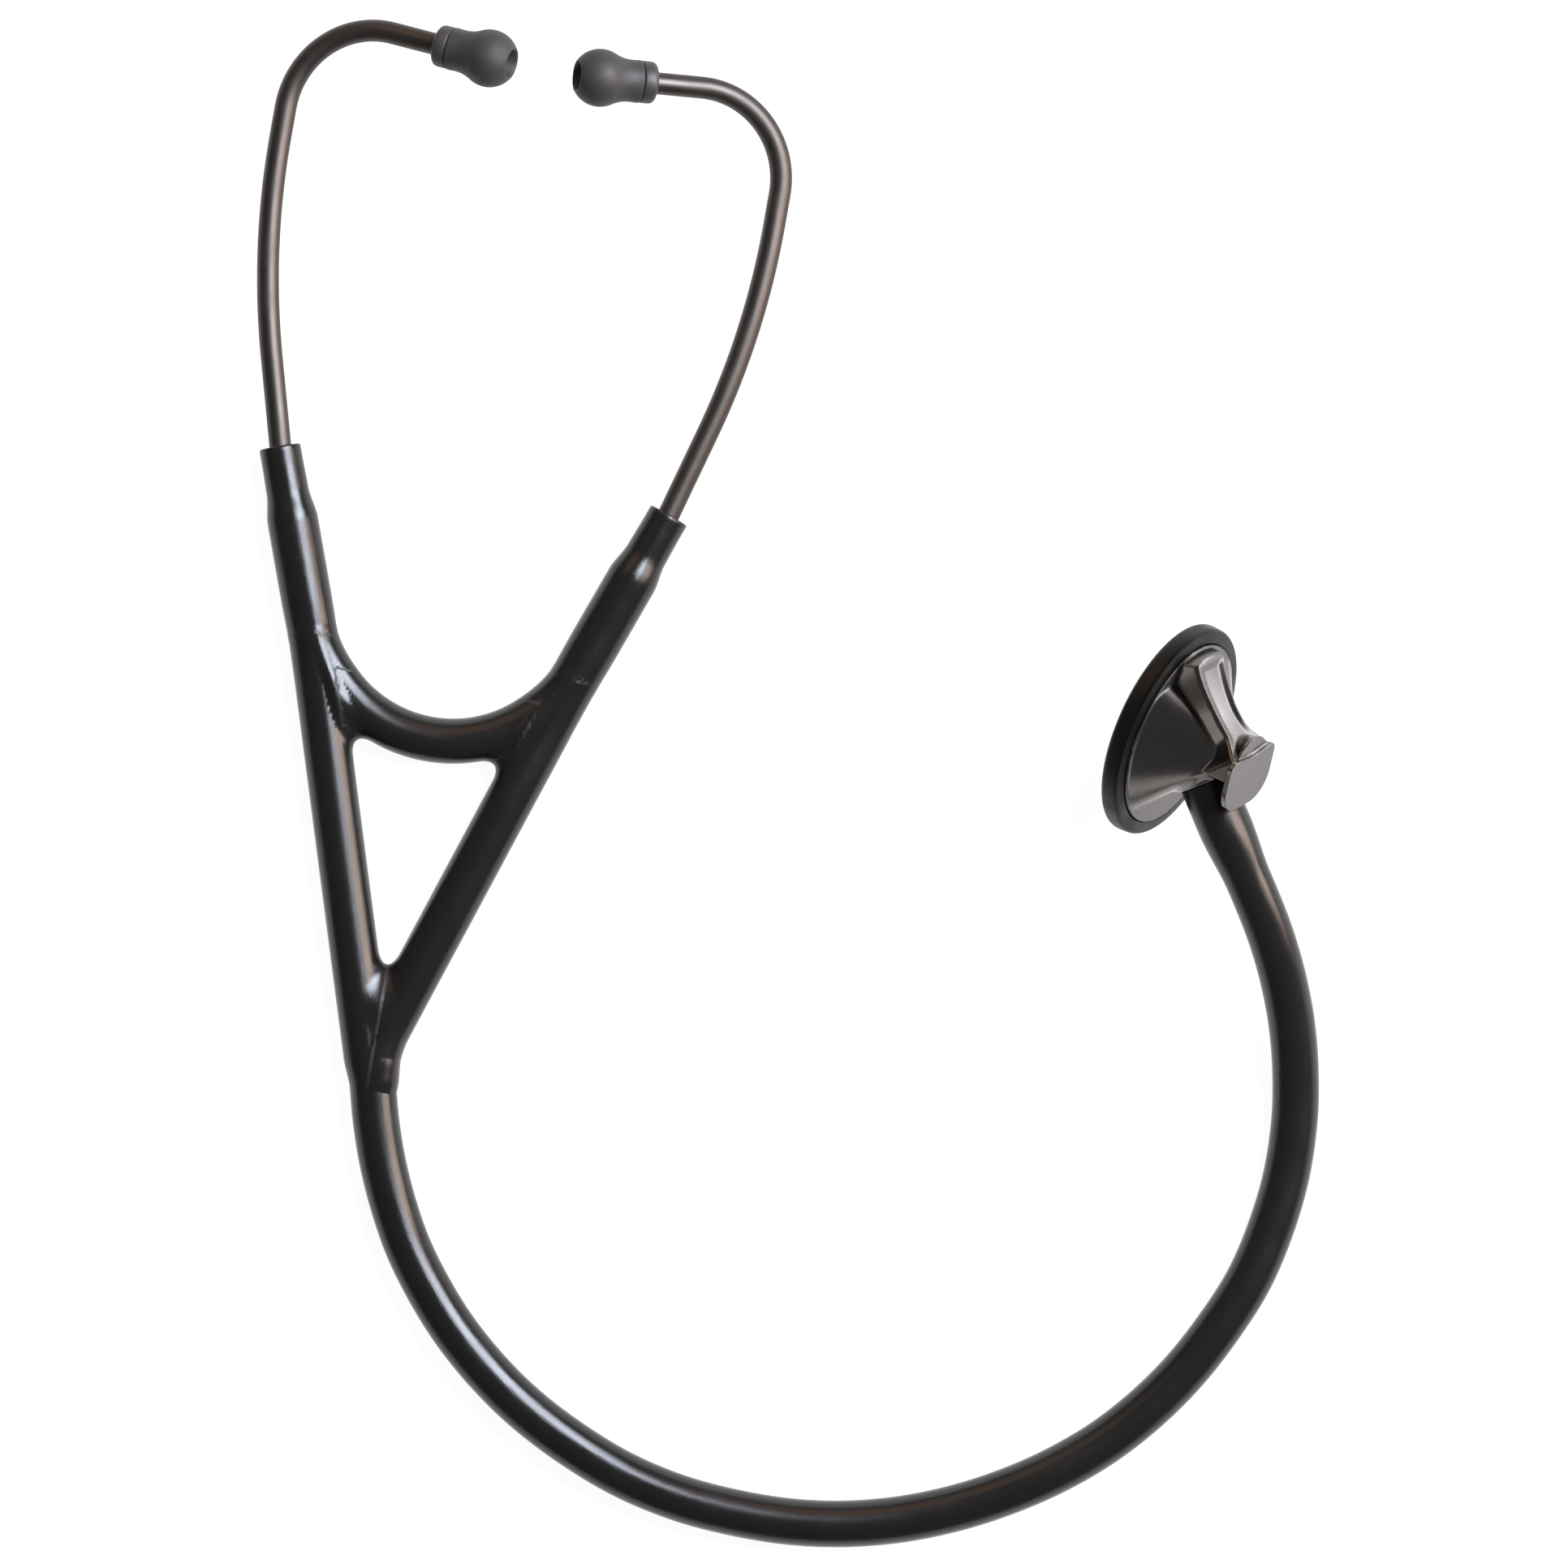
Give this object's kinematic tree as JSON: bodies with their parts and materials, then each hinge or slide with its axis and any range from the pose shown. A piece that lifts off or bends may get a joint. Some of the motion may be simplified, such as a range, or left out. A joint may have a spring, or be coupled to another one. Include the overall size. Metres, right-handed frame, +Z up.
{
  "type": "stethoscope",
  "caption": "Single-sided stethoscope with a sprung two-armed headset, one curved hose, a tilted metal chestpiece with a soft rim, and pull-off eartips.",
  "frame": {"origin": "centre of the box of headset and chestpiece, on the surface the stethoscope lies on", "axes": "+Z up, +Y along the headset towards the eartips' side, +X from the headset towards the chestpiece"},
  "size_m": [0.2445, 0.3516, 0.0472],
  "materials": {
    "tubing": "glossy moulded PVC",
    "spring_steel": "rolled",
    "stem_steel": "turned",
    "seal_rubber": "moulded",
    "anodised_tube": "dark satin anodised",
    "ferrule_metal": "turned",
    "collar_plastic": "satin",
    "eartip_silicone": "matte silicone",
    "smoked_steel": "polished, smoke finish",
    "rim_rubber": "satin",
    "surround_rubber": "satin",
    "diaphragm_sheet": "satin glass-epoxy sheet"
  },
  "bodies": {
    "root": {"yoke": "tubing", "leaf_spring": "spring_steel", "hose": "tubing", "stem": "stem_steel", "stem_seal": "seal_rubber", "stem_clip": "spring_steel"},
    "left_ear": {"left_sleeve": "tubing", "left_spring_leg": "spring_steel", "left_ear_tube": "anodised_tube", "left_tip_ferrule": "ferrule_metal"},
    "right_ear": {"right_sleeve": "tubing", "right_spring_leg": "spring_steel", "right_ear_tube": "anodised_tube", "right_tip_ferrule": "ferrule_metal"},
    "left_tip": {"left_tip_collar": "collar_plastic", "left_eartip": "eartip_silicone"},
    "right_tip": {"right_tip_collar": "collar_plastic", "right_eartip": "eartip_silicone"},
    "chestpiece": {"chestpiece_body": "smoked_steel", "rim": "rim_rubber"},
    "diaphragm": {"diaphragm": "diaphragm_sheet", "diaphragm_surround": "surround_rubber"}
  },
  "joints": [
    {"name": "left_arm_spread", "type": "hinge", "parent": "root", "child": "left_ear", "pos_m": [-0.10359, -0.0193, 0.0059], "axis": [0, 0, 1], "range_deg": [-2.5, 28], "stiffness_Nm_per_rad": 0.9},
    {"name": "right_arm_spread", "type": "hinge", "parent": "root", "child": "right_ear", "pos_m": [-0.04332, -0.02993, 0.0059], "axis": [0, 0, -1], "range_deg": [-2.5, 28], "stiffness_Nm_per_rad": 0.9},
    {"name": "left_tip_pull", "type": "slide", "parent": "left_ear", "child": "left_tip", "axis": [0.9203, -0.2614, 0.291], "range_m": [0, 0.011]},
    {"name": "right_tip_pull", "type": "slide", "parent": "right_ear", "child": "right_tip", "axis": [-0.9542, 0.0692, 0.291], "range_m": [0, 0.011]},
    {"name": "chestpiece_swivel", "type": "hinge", "parent": "root", "child": "chestpiece", "pos_m": [0.1015, -0.0535, 0.025], "axis": [0.3896, -0.9183, -0.0701], "continuous": true},
    {"name": "diaphragm_press", "type": "slide", "parent": "chestpiece", "child": "diaphragm", "axis": [0.8167, -0.393, 0.4226], "range_m": [0, 0.0005], "stiffness_N_per_m": 4000}
  ]
}
